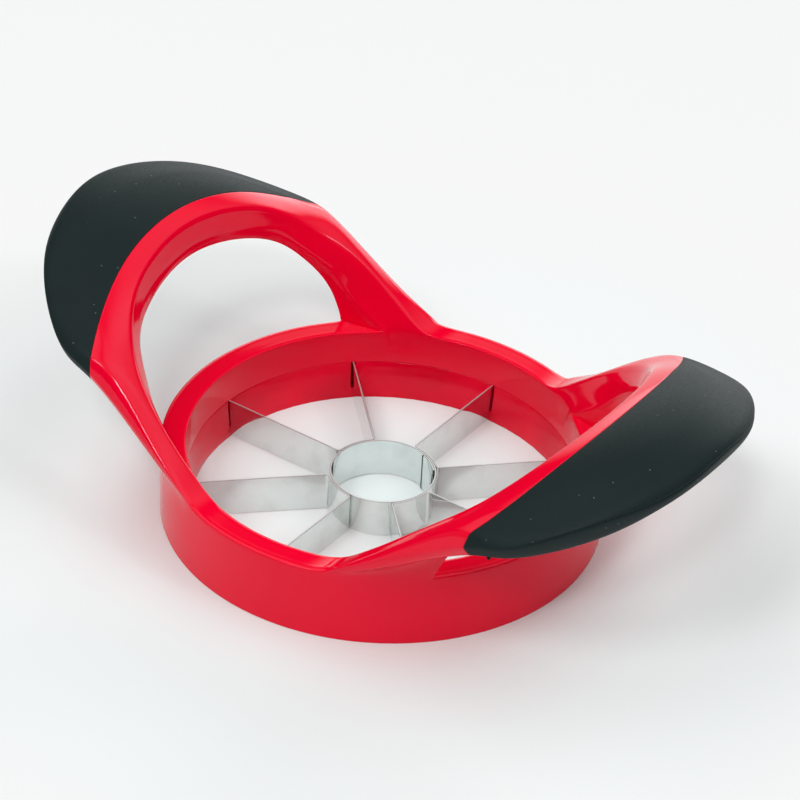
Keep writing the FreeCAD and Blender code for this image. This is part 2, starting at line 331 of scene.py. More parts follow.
class Tree:
    """A tree of nodes: a material's, the world's or the one that makes a piece."""

    def __init__(self, tree):
        self.tree = tree
        tree.nodes.clear()

    def node(self, kind, settings=None, sockets=None):
        """A node of a kind, with its settings made first and then its sockets set or linked."""
        node = self.tree.nodes.new(kind)
        for name, value in (settings or {}).items():
            setattr(node, name, value)
        for name, value in (sockets or {}).items():
            socket = node.inputs[name]
            if isinstance(value, Value):
                self.tree.links.new(value.socket, socket)
            else:
                socket.default_value = value
        return Made(self, node)

    def noise(self, place, scale, detail=3.0, roughness=0.5):
        """Noise from 0 to 1, about 0.5 in the middle, with so many waves per metre."""
        waves = self.node("ShaderNodeTexNoise", {"noise_dimensions": "3D"}, {
            "Vector": place, "Scale": scale, "Detail": detail, "Roughness": roughness})
        return waves.out("Fac")

    def span(self, value, low, high, to_low=0.0, to_high=1.0):
        """The value taken from one range to another and held at its ends."""
        taken = self.node("ShaderNodeMapRange", {"clamp": True}, {
            "Value": value, "From Min": low, "From Max": high, "To Min": to_low, "To Max": to_high})
        return taken.out("Result")

    def blend(self, share, first, second):
        """One colour going over into another."""
        node = self.node("ShaderNodeMix", {"data_type": "RGBA"}, {"Factor": share}).raw
        for socket, colour in zip(node.inputs[COLOUR_IN:], (first, second)):
            if isinstance(colour, Value):
                self.tree.links.new(colour.socket, socket)
            else:
                socket.default_value = (*colour, 1.0)
        return Value(self, node.outputs[COLOUR_OUT])

    def place(self, source="Object"):
        return self.node("ShaderNodeTexCoord").out(source)

    def stretched(self, place, scale):
        return self.node("ShaderNodeMapping", {}, {"Vector": place, "Scale": scale}).out("Vector")

    def specks(self, place, scale, share, size):
        """1 on round specks in a share of the cells of a foam, 0 elsewhere."""
        foam = self.node("ShaderNodeTexVoronoi", {"feature": "F1"}, {"Vector": place, "Scale": scale})
        lot = self.node("ShaderNodeSeparateColor", {}, {"Color": foam.out("Color")}).out("Red")
        return self.span(foam.out("Distance"), size / 2, size, 1.0, 0.0) * (lot > 1 - share)

    def bump(self, height, distance, strength=1.0, normal=None):
        sockets = {"Height": height, "Distance": distance, "Strength": strength}
        if normal:
            sockets["Normal"] = normal
        return self.node("ShaderNodeBump", {}, sockets).out("Normal")

    def finish(self, result, output="ShaderNodeOutputMaterial", socket="Surface"):
        self.node(output, {}, {socket: result})


# ================================================================ handles

def above_ring(points):
    return [Vector((RING_R + out, across, RING_H + up)) for out, across, up in points]


def handle_rows():
    """The ten rows that carry a handle's section, as smooth curves from foot to foot."""
    feet = [polar(WELL_R, RIM_BEARING, RING_H), polar(RING_R, SHOULDER_BEARING, RING_H),
            polar(RING_R, LIP_BEARING, RING_H), polar(RING_R, KEEL_BEARING, RING_H),
            polar(RING_R, EAVE_BEARING, RING_H)]
    rim, shoulder, lip, keel, eave = [
        above_ring(points) + [foot]
        for points, foot in zip((RIM, SHOULDER, LIP, KEEL, EAVE), feet)]
    up = Vector((0, 0, 1))
    top, roll, bead, belly, ridge = [], [], [], [], []
    for i, rolled in enumerate(LIP_ROLL):
        a, c, e, k, g = rim[i], shoulder[i], lip[i], keel[i], eave[i]
        overhang = e - c
        corner = Vector((e.x, e.y, c.z - ROLL_DROP * (c.z - e.z))) - overhang * ROLL_TUCK
        hole_side = (Vector((RING_R, 0, a.z)) - a).normalized()
        top.append(a.lerp(c, CROWN_AT) + up * CROWN_LIFT[i])
        roll.append(c.lerp(e, 0.5).lerp(corner, rolled))
        bead.append(e.lerp(k, 0.5) + overhang * (BEAD_PROUD * rolled))
        belly.append(k.lerp(g, 0.5) - up * BELLY_DROP[i])
        ridge.append(a.lerp(g, RIDGE_AT) + hole_side * RIDGE_BULGE[i])
    top.append(rim[-1].lerp(shoulder[-1], 0.5))
    roll.append(shoulder[-1].lerp(lip[-1], 0.5))
    bead.append(lip[-1].lerp(keel[-1], 0.5))
    half_turn = (KEEL_BEARING - EAVE_BEARING) / 2
    tangents_meet = RING_R / math.cos(math.radians(half_turn))
    belly.append(polar(tangents_meet, KEEL_BEARING - half_turn, RING_H))
    ridge.append(polar(WELL_R, RIDGE_BEARING, RING_H))
    curves = []
    for row in (rim, top, shoulder, roll, lip, bead, keel, belly, eave, ridge):
        mirrored = [Vector((p.x, -p.y, p.z)) for p in row[:0:-1]]
        curves.append(natural_spline(mirrored + row))
    return curves


HANDLE_ROWS = handle_rows()
KEEL_ROW = 6                               # place of the keel among them
SHOULDER_AT = DECK_STEPS                   # places of the rails in the loop of a section
LIP_AT = SHOULDER_AT + ROLL_STEPS
KEEL_AT = LIP_AT + BEAD_STEPS
EAVE_AT = KEEL_AT + BELLY_STEPS
RIDGE_AT_LOOP = EAVE_AT + DECK_STEPS
LOOP = RIDGE_AT_LOOP + SIDE_STEPS


def eased(corner, before, after):
    """A corner moved in on the bend between its neighbours."""
    return corner + ((before - corner) + (after - corner)) * ROUNDING


def section(knot, groove=0.0):
    """The closed loop of points round a handle at a knot: over the top from the rim to the
    shoulder, down the side and along the belly to the eave, and up the hole's wall to the rim."""
    rim, top, shoulder, roll, lip, bead, keel, belly, eave, ridge = [
        row(knot + FOOT) for row in HANDLE_ROWS]
    shoulder_crease = mix(GRIP_SHOULDER_CREASE, LEG_SHOULDER_CREASE, ramp(abs(knot), *SHOULDER_TURN))
    depth = groove * (1 - ramp(abs(knot), *GROOVE_END))
    lip_crease = mix(LIP_CREASE, GROOVE_CREASE, min(depth / GROOVE_START, 1.0))

    def across(a, b, c, steps, start, end):
        length = max((c - a).length, SHORTEST)
        shares = spread(steps, *(min(WIDEST_CREASE, crease / length) for crease in (start, end)))
        return [bezier(a, b, c, t) for t in shares[:-1]]

    loop = across(rim, top, shoulder, DECK_STEPS, RIM_CREASE, shoulder_crease)
    loop += across(shoulder, roll, lip, ROLL_STEPS, shoulder_crease, lip_crease)
    loop += across(lip, bead, keel, BEAD_STEPS, lip_crease, KEEL_CREASE)
    loop += across(keel, belly, eave, BELLY_STEPS, KEEL_CREASE, EAVE_CREASE)
    loop += across(eave, eave.lerp(ridge, 0.5), ridge, DECK_STEPS, EAVE_CREASE, RIDGE_CREASE)
    loop += across(ridge, ridge.lerp(rim, 0.5), rim, SIDE_STEPS, RIDGE_CREASE, RIM_CREASE)
    sharp = loop[:]
    for i in (0, SHOULDER_AT, LIP_AT, KEEL_AT, EAVE_AT, RIDGE_AT_LOOP):
        loop[i] = eased(sharp[i], sharp[i - 1], sharp[(i + 1) % LOOP])
    if depth > 0:
        middle = (rim + shoulder + keel + eave) / 4
        loop[LIP_AT] += (middle - loop[LIP_AT]).normalized() * depth
    return loop


def snapped_to_foot(loop):
    """The loop of the section at the foot, laid exactly on the deck's inner and outer edge."""
    laid = []
    for i, point in enumerate(loop):
        if SHOULDER_AT <= i <= EAVE_AT:
            point = polar(RING_R, bearing_of(point), RING_H)
        elif i >= RIDGE_AT_LOOP or i == 0:
            point = polar(WELL_R, bearing_of(point), RING_H)
        laid.append(point)
    return laid


def blend_reach(i):
    """How far from the foot a row of the section starts to blend into the ring."""
    if 0 < i < SHOULDER_AT:
        return TOP_BLEND
    if SHOULDER_AT < i < EAVE_AT:
        return mix(TOP_BLEND, OUTER_BLEND, ramp(i, SHOULDER_AT, KEEL_AT + 1))
    if EAVE_AT <= i < RIDGE_AT_LOOP:
        return HOLE_BLEND
    if i > RIDGE_AT_LOOP:
        return mix(HOLE_BLEND, INNER_BLEND, ramp(i, RIDGE_AT_LOOP, RIDGE_AT_LOOP + LEG_FADE[0]))
    return TOP_BLEND


# ================================================================ frame

def flange(z):
    """The inner radius of the flange at a height."""
    return mix(FLANGE_FOOT_R, WELL_R, (z - FLANGE_FOOT_Z) / (RING_H - FLANGE_FOOT_Z))


def ring_profile():
    """The ring's section from the flange's foot over the deck and round to the flange's foot
    again: radius, height, how far out across the deck it counts, and whether it stays sharp."""
    deck = spread(DECK_STEPS, WELL_EDGE / (RING_R - WELL_R), DECK_EDGE / (RING_R - WELL_R))
    channel_r = RING_R - OUTER_WALL
    under_deck = RING_H - DECK_T
    rows = [(flange(z), z, 0.0, False) for z in
            [FLANGE_FOOT_Z, FLANGE_FOOT_Z + FLANGE_LIP] + FLANGE_ROWS + [RING_H - WELL_EDGE]]
    rows += [(mix(WELL_R, RING_R, share), RING_H, share, False) for share in deck]
    rows += [(RING_R, z, 1.0, False) for z in [RING_H - DECK_EDGE] + WALL_ROWS + [FOOT_EDGE, 0.0]]
    rows += [(RING_R - FOOT_EDGE, 0.0, 1.0, False), (channel_r, 0.0, 1.0, True),
             (channel_r, CHANNEL_ROW, 1.0, False), (channel_r, under_deck, 1.0, True),
             (WELL_R + FLANGE_T, under_deck, 0.0, True),
             (FLANGE_FOOT_R + FLANGE_T, FLANGE_FOOT_Z, 0.0, True),
             (FLANGE_FOOT_R + FLANGE_LIP, FLANGE_FOOT_Z, 0.0, False)]
    return rows


INNER_ROW = 3 + len(FLANGE_ROWS)           # the deck's inner edge in the ring's profile,
OUTER_ROW = INNER_ROW + DECK_STEPS         # its outer edge
FOOT_ROW = OUTER_ROW + 3 + len(WALL_ROWS)  # and the bottom of the outer wall
HOLE_COLUMN = UNDER_ARCH_STEPS             # the ring's column where the finger hole's wall stands
TOP_COLUMN = HOLE_COLUMN + SIDE_STEPS      # and the column where the handle's top meets the deck


def ring_columns(foot):
    """The inner and outer bearing of each column of the ring, over a quarter turn."""
    under_arch = spread(UNDER_ARCH_STEPS, 1 / UNDER_ARCH_STEPS, HOLE_BLEND / UNDER_ARCH_L)
    open_deck = spread(OPEN_DECK_STEPS, TOP_BLEND / OPEN_DECK_L, 1 / OPEN_DECK_STEPS)
    columns = [(RIDGE_BEARING * share, EAVE_BEARING * share) for share in under_arch[:-1]]
    for k in range(SIDE_STEPS):
        inner = foot[(RIDGE_AT_LOOP + k) % LOOP]
        outer = foot[EAVE_AT - k]
        columns.append((bearing_of(inner), bearing_of(outer)))
    columns += [(mix(RIM_BEARING, 90, share), mix(SHOULDER_BEARING, 90, share))
                for share in open_deck]
    return columns


def relaxed(bearings):
    """Bearings moved to the middle of their neighbours, all but the first and the last."""
    inner = [sum(bearings[i - 1:i + 2]) / 3 for i in range(1, len(bearings) - 1)]
    return [bearings[0]] + inner + [bearings[-1]]


def ring_cage(bm, profile, foot):
    """Adds a quarter of the ring, open where the leg stands, and gives its vertices by column
    and row."""
    sharp = bm.edges.layers.float.new("crease_edge")
    columns = ring_columns(foot)
    even = list(zip(*(relaxed(relaxed(side)) for side in zip(*columns))))
    drops = {OUTER_ROW + 1: OUTER_BLEND - DECK_EDGE, OUTER_ROW + 2: OUTER_TAIL,
             INNER_ROW - 1: INNER_BLEND - WELL_EDGE, INNER_ROW - 2: INNER_TAIL}
    grid = {}
    for c, (inner, outer) in enumerate(columns):
        below_leg = (ramp(c, HOLE_COLUMN, HOLE_COLUMN + LEG_FADE[0])
                     * (1 - ramp(c, TOP_COLUMN - LEG_FADE[1], TOP_COLUMN)))
        for r, (radius, z, share, _) in enumerate(profile):
            if HOLE_COLUMN < c < TOP_COLUMN and INNER_ROW < r < OUTER_ROW:
                continue
            on_wall = not INNER_ROW - 1 <= r <= OUTER_ROW + 1
            bearing = mix(*even[c], share) if on_wall else mix(inner, outer, share)
            place = polar(radius, bearing, z - drops.get(r, 0.0) * below_leg)
            if INNER_ROW < r < OUTER_ROW and c in (HOLE_COLUMN, TOP_COLUMN):
                i = r - INNER_ROW
                place = foot[i] if c == TOP_COLUMN else foot[RIDGE_AT_LOOP - i]
            grid[c, r] = bm.verts.new(place)
    for c in range(len(columns) - 1):
        for r in range(len(profile)):
            under = (r + 1) % len(profile)
            if HOLE_COLUMN <= c < TOP_COLUMN and INNER_ROW <= r < OUTER_ROW:
                continue
            bm.faces.new((grid[c, r], grid[c + 1, r], grid[c + 1, under], grid[c, under]))
            if profile[r][3]:
                bm.edges.get((grid[c, r], grid[c + 1, r]))[sharp] = 1.0
    return grid


def leg_cage(bm, lowest, foot):
    """Adds half a handle on the lowest loop, up to the crown, and gives its first loop above."""
    # The shift that laid the foot's section on the deck's edges fades out over one knot.
    slip = [laid - point for laid, point in zip(foot, section(FOOT))]
    leg = [a - b for a, b in zip(section(FOOT), section(FOOT - 1))]
    count = round(FOOT / KNOT_STEP) - BLENDED_STEPS
    stations = [[FOOT - blend_reach(i) / leg[i].length for i in range(LOOP)]]
    stations += [[KNOT_STEP * s] * LOOP for s in range(count, -1, -1)]
    loops = [lowest]
    for knots in stations:
        sections = {knot: section(knot) for knot in set(knots)}
        ring = []
        for i, knot in enumerate(knots):
            point = sections[knot][i] + slip[i] * max(0.0, knot - FOOT + 1) ** 2
            if knot == 0:
                point.y = 0
            ring.append(bm.verts.new(point))
        below = loops[-1]
        for i in range(LOOP):
            j = (i + 1) % LOOP
            bm.faces.new((below[i], below[j], ring[j], ring[i]))
        loops.append(ring)
    return loops[1]


def quarter_frame():
    """A quarter of the ring with half a handle standing on it, as a cage for subdivision."""
    bm = bmesh.new()
    profile = ring_profile()
    foot = snapped_to_foot(section(FOOT))
    grid = ring_cage(bm, profile, foot)

    # The loop where the leg stands, each place with the one beside it on the ring.
    over, beside = range(DECK_STEPS), range(SIDE_STEPS)
    around = [((TOP_COLUMN, INNER_ROW + i), (TOP_COLUMN + 1, INNER_ROW + i)) for i in over]
    around += [((TOP_COLUMN - i, OUTER_ROW), (TOP_COLUMN - i, OUTER_ROW + 1)) for i in beside]
    around += [((HOLE_COLUMN, OUTER_ROW - i), (HOLE_COLUMN - 1, OUTER_ROW - i)) for i in over]
    around += [((HOLE_COLUMN + i, INNER_ROW), (HOLE_COLUMN + i, INNER_ROW - 1)) for i in beside]
    lowest = [grid[place] for place, _ in around]
    first = leg_cage(bm, lowest, foot)

    # The cage's corners move in last, because each is worked out from its neighbours' first places.
    moved = {}
    for (c, r), vert in grid.items():
        if r in (0, INNER_ROW, OUTER_ROW, FOOT_ROW) and vert not in lowest:
            before, after = grid[c, (r - 1) % len(profile)], grid[c, r + 1]
            moved[vert] = eased(vert.co, before.co, after.co)
    for vert, on_leg, (_, on_ring) in zip(lowest, first, around):
        moved[vert] = eased(vert.co, on_leg.co, grid[on_ring].co)
    for vert, place in moved.items():
        vert.co = place
    return bm


def mirrored(bm, axis):
    """The bmesh joined to its mirror image across the plane through the origin."""
    bmesh.ops.mirror(bm, geom=bm.verts[:] + bm.edges[:] + bm.faces[:], axis=axis, merge_dist=0.001)
    bmesh.ops.recalc_face_normals(bm, faces=bm.faces[:])
    return bm


def beyond_seam(point):
    """How far a point lies outside the seam of its handle."""
    return math.hypot(abs(point.x) - SEAM_X, point.y) - SEAM_R


def across_seam(point):
    """The level direction that leads out through the seam at a point."""
    out = Vector((abs(point.x) - SEAM_X, point.y, 0)).normalized()
    return out if point.x > 0 else Vector((-out.x, out.y, 0))


def slide_across(point, normal):
    """The step along a surface that leads out through the seam by one."""
    out = across_seam(point)
    along = (out - normal * out.dot(normal)).normalized()
    return along / max(along.dot(out), STEEPEST)


def cut_at_seam(bm, side, edge, gap):
    """Keeps what lies inside (side -1) or outside (side +1) the seam and closes the cut behind a
    wall that stands back by the gap, with its edge rounded."""
    level = side * (edge + gap + SEAM_MARGIN)
    normal = bm.verts.layers.float_vector.new("normal")
    bm.normal_update()
    for vert in bm.verts:
        vert[normal] = vert.normal
        off = beyond_seam(vert.co) - level
        if abs(off) < SEAM_REACH:
            vert.co -= slide_across(vert.co, vert.normal) * off
    crossing = {}
    for e in bm.edges:
        a, b = (beyond_seam(v.co) - level for v in e.verts)
        if a * b < 0 and min(abs(a), abs(b)) > ON_SEAM / 2:
            crossing[e] = a / (a - b)
    bmesh.ops.bisect_edges(bm, edges=list(crossing), cuts=1, edge_percents=crossing)
    on_seam = [v for v in bm.verts if abs(beyond_seam(v.co) - level) < ON_SEAM]
    bmesh.ops.connect_verts(bm, verts=on_seam)
    gone = [f for f in bm.faces
            if sum(side * (beyond_seam(v.co) - level) for v in f.verts) < 0]
    bmesh.ops.delete(bm, geom=gone, context="FACES")
    wall_at_cut(bm, side, edge)
    bmesh.ops.recalc_face_normals(bm, faces=bm.faces[:])


def wall_at_cut(bm, side, edge):
    """Carries the open rim on to the seam, over a round edge and down a wall, and closes it there."""
    normal = bm.verts.layers.float_vector["normal"]
    onward = bm.verts.layers.float_vector.new("onward")
    inward = bm.verts.layers.float_vector.new("inward")
    rim = [e for e in bm.edges if e.is_boundary]
    for vert in {v for e in rim for v in e.verts}:
        out = across_seam(vert.co)
        up = Vector(vert[normal]).normalized()
        vert[onward] = slide_across(vert.co, up) * -side
        vert[inward] = (out * out.dot(up) - up).normalized()
    start = {}
    for depth in (0.0, 1 / 3, 2 / 3, 1.0, SEAM_DEPTH / edge):
        grown = bmesh.ops.extrude_edge_only(bm, edges=rim)["geom"]
        rim = [g for g in grown if isinstance(g, bmesh.types.BMEdge) and g.is_boundary]
        for vert in {v for e in rim for v in e.verts}:
            forth, down = Vector(vert[onward]), Vector(vert[inward])
            below = next(e.other_vert(vert) for e in vert.link_edges if not e.is_boundary)
            start[vert] = start.get(below, below.co + forth * SEAM_MARGIN)
            tip = start[vert] + forth * edge
            if depth > 1:
                vert.co = tip + down * SEAM_DEPTH
            else:
                vert.co = bezier(start[vert], tip, tip + down * edge, depth)
    for end in (-1, 1):
        loop = [e for e in rim if e.verts[0].co.x * end > 0]
        if loop:
            cap = bmesh.ops.edgeloop_fill(bm, edges=loop)["faces"]
            bmesh.ops.triangulate(bm, faces=cap, ngon_method="EAR_CLIP")


def true_walls(bm):
    """Lays the ring's walls exactly round, below where the legs blend in."""
    for vert in bm.verts:
        radius, z = math.hypot(vert.co.x, vert.co.y), vert.co.z
        plain = ramp(z, FOOT_EDGE, PLAIN_WALL_FOOT) * (1 - ramp(z, PLAIN_WALL_H, PLAIN_WALL_END))
        for wall in (RING_R, flange(z)):
            if abs(radius - wall) < WALL_WAVE:
                stretch = mix(1, wall / radius, plain)
                vert.co = Vector((vert.co.x * stretch, vert.co.y * stretch, z))


def build_frame():
    bm = quarter_frame()
    for axis in ("X", "Y"):
        bm = mirrored(bm, axis)
    bm = subdivided(bm, SMOOTHING)
    true_walls(bm)
    cut_at_seam(bm, -1, RED_EDGE, 0.0)
    return mesh_object("red_frame", bm)


# ================================================================ grips

def half_handle(groove):
    """Half a handle by itself, from the crown to short of its foot."""
    bm = bmesh.new()
    above = None
    for s in range(round(GRIP_LENGTH / KNOT_STEP) + 1):
        loop = section(KNOT_STEP * s, groove)
        if s == 0:
            for point in loop:
                point.y = 0
        ring = [bm.verts.new(point) for point in loop]
        if above:
            for i in range(LOOP):
                j = (i + 1) % LOOP
                bm.faces.new((above[i], above[j], ring[j], ring[i]))
        above = ring
    return bm


def build_grip(name, turn):
    bm = mirrored(half_handle(PARTING_DEPTH), "Y")
    bm = subdivided(bm, SMOOTHING)
    cut_at_seam(bm, 1, GRIP_EDGE, GRIP_GAP)
    gate = HANDLE_ROWS[KEEL_ROW](FOOT - GATE_KNOT)
    bmesh.ops.create_icosphere(bm, subdivisions=2, radius=GATE_R, matrix=Matrix.Translation(gate))
    bmesh.ops.rotate(bm, verts=bm.verts[:], matrix=Matrix.Rotation(math.radians(turn), 3, "Z"))
    return mesh_object(name, bm)


# ================================================================ carrier

def build_carrier():
    """The ring that holds the blades, with a slot for each blade's end. Its section runs from the
    inner foot past a slot's bottom to the top, past a slot's end and down the outside."""
    bm = bmesh.new()
    slot_foot_r = mix(CARRIER_FOOT_R, CARRIER_TOP_R, SLOT_FOOT / CARRIER_H)
    profile = [(CARRIER_FOOT_R, 0.0), (slot_foot_r, SLOT_FOOT), (CARRIER_TOP_R, CARRIER_H),
               (SLOT_END_R, CARRIER_H), (CARRIER_R, CARRIER_H), (CARRIER_R, 0.0)]
    pitch = 360.0 / WEDGES
    grid = {}
    columns = WEDGES * WEDGE_COLUMNS
    for c in range(columns):
        wedge, k = divmod(c, WEDGE_COLUMNS)
        for r, (radius, z) in enumerate(profile):
            jaw = math.degrees(math.asin(SLOT_W / 2 / radius))
            turn = mix(jaw, pitch - jaw, k / (WEDGE_COLUMNS - 1))
            grid[c, r] = bm.verts.new(polar(radius, wedge * pitch + turn, z))
    for c in range(columns):
        nxt = (c + 1) % columns
        is_slot = c % WEDGE_COLUMNS == WEDGE_COLUMNS - 1
        for r in range(len(profile)):
            under = (r + 1) % len(profile)
            if not (is_slot and r in (1, 2)):
                bm.faces.new((grid[c, r], grid[nxt, r], grid[nxt, under], grid[c, under]))
        if is_slot:
            deep = [bm.verts.new(Vector((*grid[k, 3].co.xy, SLOT_FOOT))) for k in (c, nxt)]
            bm.faces.new((grid[c, 1], grid[c, 2], grid[c, 3], deep[0]))
            bm.faces.new((grid[nxt, 1], deep[1], grid[nxt, 3], grid[nxt, 2]))
            bm.faces.new((deep[0], grid[c, 3], grid[nxt, 3], deep[1]))
            bm.faces.new((grid[c, 1], deep[0], deep[1], grid[nxt, 1]))
    bmesh.ops.recalc_face_normals(bm, faces=bm.faces[:])
    piece = mesh_object("red_blade_carrier", bm)
    rounding = piece.modifiers.new("Edge rounding", "BEVEL")
    rounding.width = CARRIER_EDGE * MM
    rounding.segments = 2
    rounding.limit_method = "ANGLE"
    rounding.angle_limit = math.radians(CARRIER_CRISP)
    return piece


# ================================================================ blades and coring tube

def arc(centre, radius, start, end, steps):
    """Points on an arc in plan, bearings in radians."""
    angles = [mix(start, end, i / steps) for i in range(steps + 1)]
    return [Vector((*centre, 0)) + Vector((math.cos(a), math.sin(a), 0)) * radius for a in angles]


def strip_path():
    """The middle line of a blade strip in plan, from one blade's tab to the other's."""
    step = 2 * math.pi / WEDGES
    wrap_r = CORE_R + WELD_FIT + SHEET_T / 2
    bend = BEND_R + SHEET_T / 2
    bend_x = math.sqrt((wrap_r + bend) ** 2 - bend ** 2)
    turn = math.atan2(bend, bend_x)
    wall_r = CARRIER_FOOT_R - TAB_FIT
    half = [Vector((x, 0, 0)) for x in (SLOT_END_R - TAB_FIT, wall_r + NOTCH_SLOPE)]
    half += [Vector((mix(wall_r, bend_x, i / BLADE_STEPS), 0, 0)) for i in range(BLADE_STEPS)]
    half += arc((bend_x, bend), bend, -math.pi / 2, -math.pi + turn, BEND_STEPS)
    cos, sin = math.cos(step), math.sin(step)
    other = [Vector((cos * p.x + sin * p.y, sin * p.x - cos * p.y, 0)) for p in reversed(half)]
    return half + arc((0, 0), wrap_r, turn, step - turn, WRAP_STEPS)[1:-1] + other


def strip_tree():
    """The nodes that sweep a strip's section along its path, notch it where it lies in a slot and
    lay its UV map: along the strip and up."""
    tree = bpy.data.node_groups.new("steel strip", "GeometryNodeTree")
    for name, kind in (("Path", "NodeSocketGeometry"), ("Section", "NodeSocketObject"),
                       ("Notch", "NodeSocketFloat"), ("Finish", "NodeSocketMaterial")):
        tree.interface.new_socket(name, in_out="INPUT", socket_type=kind)
    tree.interface.new_socket("Strip", in_out="OUTPUT", socket_type="NodeSocketGeometry")
    s = Tree(tree)

    def curve(mesh):
        return s.node("GeometryNodeMeshToCurve", {}, {"Mesh": mesh}).out("Curve")

    def marked(name):
        kind = {"data_type": "FLOAT"}
        return s.node("GeometryNodeInputNamedAttribute", kind, {"Name": name}).out("Attribute")

    given = s.node("NodeGroupInput")
    section = s.node("GeometryNodeObjectInfo", {}, {"Object": given.out("Section")}).out("Geometry")
    upright = s.node("GeometryNodeSetCurveNormal", {"mode": "Z_UP"}, {"Curve": curve(given.out("Path"))})
    swept = s.node("GeometryNodeCurveToMesh", {}, {
        "Curve": upright.out(), "Profile Curve": curve(section), "Fill Caps": True}).out("Mesh")
    spot = s.node("ShaderNodeSeparateXYZ", {}, {"Vector": s.node("GeometryNodeInputPosition").out()})
    height = s.node("ShaderNodeMath", {"operation": "MAXIMUM"}, {
        0: spot.out("Z"), 1: marked("in_slot") * given.out("Notch")}).out()
    raised = s.node("ShaderNodeCombineXYZ", {}, {"X": spot.out("X"), "Y": spot.out("Y"), "Z": height}).out()
    notched = s.node("GeometryNodeSetPosition", {}, {"Geometry": swept, "Position": raised}).out("Geometry")
    unrolled = s.node("ShaderNodeCombineXYZ", {}, {"X": marked("along"), "Y": spot.out("Z") * MM}).out()
    mapped = s.node("GeometryNodeStoreNamedAttribute", {"data_type": "FLOAT2", "domain": "CORNER"}, {
        "Geometry": notched, "Name": "strip", "Value": unrolled}).out("Geometry")
    real = s.node("GeometryNodeRealizeInstances", {}, {"Geometry": mapped}).out("Geometry")
    steel = s.node("GeometryNodeSetMaterial", {}, {"Geometry": real, "Material": given.out("Finish")})
    s.finish(steel.out(), "NodeGroupOutput", "Strip")
    return tree


def polyline(name, points, closed):
    """An object that is only a line from point to point, for the nodes to work on."""
    mesh = bpy.data.meshes.new(name)
    count = len(points)
    edges = [(i, (i + 1) % count) for i in range(count if closed else count - 1)]
    mesh.from_pydata(points, edges, [])
    line = bpy.data.objects.new(name, mesh)
    bpy.context.scene.collection.objects.link(line)
    return line


def ribbon(bm, path, closed, tabs=0, shadowed_end=False):
    """Adds a steel strip on edge along a path in plan: rounded back, ground cutting edge. The first
    and last points, as many as tabs says, lie in slots, where the strip is notched from below. Where
    asked, the last length is marked in the UV map, and the steel's material paints a dark shadow
    line there."""
    half, tip = SHEET_T / 2, CUTTING_EDGE_T / 2
    grind = BLADE_FOOT + GRIND
    outline = [(-half, BLADE_TOP - BURR), (BURR - half, BLADE_TOP), (half - BURR, BLADE_TOP),
               (half, BLADE_TOP - BURR), (half, grind), (tip, BLADE_FOOT), (-tip, BLADE_FOOT),
               (-half, grind)]
    section = polyline("section", [(out, -up, 0) for out, up in outline], True)
    line = polyline("path", path, closed)
    count = len(path)
    along = [0.0]
    for before, point in zip(path, path[1:]):
        along.append(along[-1] + (point - before).length * MM)
    if shadowed_end:
        along[-1] = LAP_SHADOW_MARK
    in_slot = [float(i < tabs or i >= count - tabs) for i in range(count)]
    for name, values in (("along", along), ("in_slot", in_slot)):
        line.data.attributes.new(name, "FLOAT", "POINT").data.foreach_set("value", values)
    modifier = line.modifiers.new("Strip", "NODES")
    modifier.node_group = STRIP_TREE
    given = {"Section": section, "Notch": SLOT_FOOT + TAB_FIT, "Finish": STEEL}
    for socket in STRIP_TREE.interface.items_tree:
        if socket.name in given:
            modifier[socket.identifier] = given[socket.name]
    bpy.context.view_layer.update()
    graph = bpy.context.evaluated_depsgraph_get()
    strip = bpy.data.meshes.new_from_object(line.evaluated_get(graph))
    bm.from_mesh(strip)
    for thing in (line, section):
        bpy.data.meshes.remove(thing.data)
    bpy.data.meshes.remove(strip)


def steel_piece(name, bm):
    """An object of steel strip, on which sharp edges shade as edges."""
    bmesh.ops.recalc_face_normals(bm, faces=bm.faces[:])
    for edge in bm.edges:
        edge.smooth = edge.calc_face_angle(0.0) < math.radians(STEEL_CRISP)
    return mesh_object(name, bm)


def build_strip(index):
    bm = bmesh.new()
    path = strip_path()
    turn = Matrix.Rotation(math.radians((2 * index - 1) * 360.0 / WEDGES), 3, "Z")
    ribbon(bm, [turn @ p for p in path], False, tabs=2)
    return steel_piece("steel_blades_%d" % index, bm)


def build_core():
    bm = bmesh.new()
    ribbon(bm, arc((0, 0), CORE_R - SHEET_T / 2, 0, 2 * math.pi, TUBE_STEPS)[:-1], True)
    lap_r = CORE_R - 1.5 * SHEET_T - LAP_FIT
    lapped = arc((0, 0), lap_r, math.radians(LAP_FROM), math.radians(LAP_TO), LAP_STEPS)
    for i, spring in enumerate(LAP_SPRING):
        lapped[i - len(LAP_SPRING)] *= 1 - spring / lap_r
    # The lapped end's last length gets a painted shadow: a dark line where the end stands off the tube.
    ribbon(bm, lapped, False, shadowed_end=True)
    return steel_piece("steel_coring_tube", bm)


# ================================================================ materials

def new_material(name):
    material = bpy.data.materials.new(name)
    material.use_nodes = True
    return material, Tree(material.node_tree)


# Colours are in linear light: red, green and blue.
RED = (0.92, 0.0003, 0.028)
DEEP_RED = (0.88, 0.0003, 0.026)
DARK_RED = (0.7, 0.0004, 0.02)
DARK_FLECK = (0.1, 0.005, 0.01)
RUBBER = (0.0065, 0.015, 0.015)
BLOOMED_RUBBER = (0.009, 0.0195, 0.0195)
DUST = (0.2, 0.22, 0.22)
ROLLED_STEEL = (0.76, 0.78, 0.77)
SMUDGED_STEEL = (0.66, 0.68, 0.67)
EDGE_STEEL = (0.78, 0.82, 0.81)
# Painted reflection: a dark line along the rounding of the steel's upper edges.
EDGE_REFLECTION_STEEL = (0.2, 0.2, 0.2)
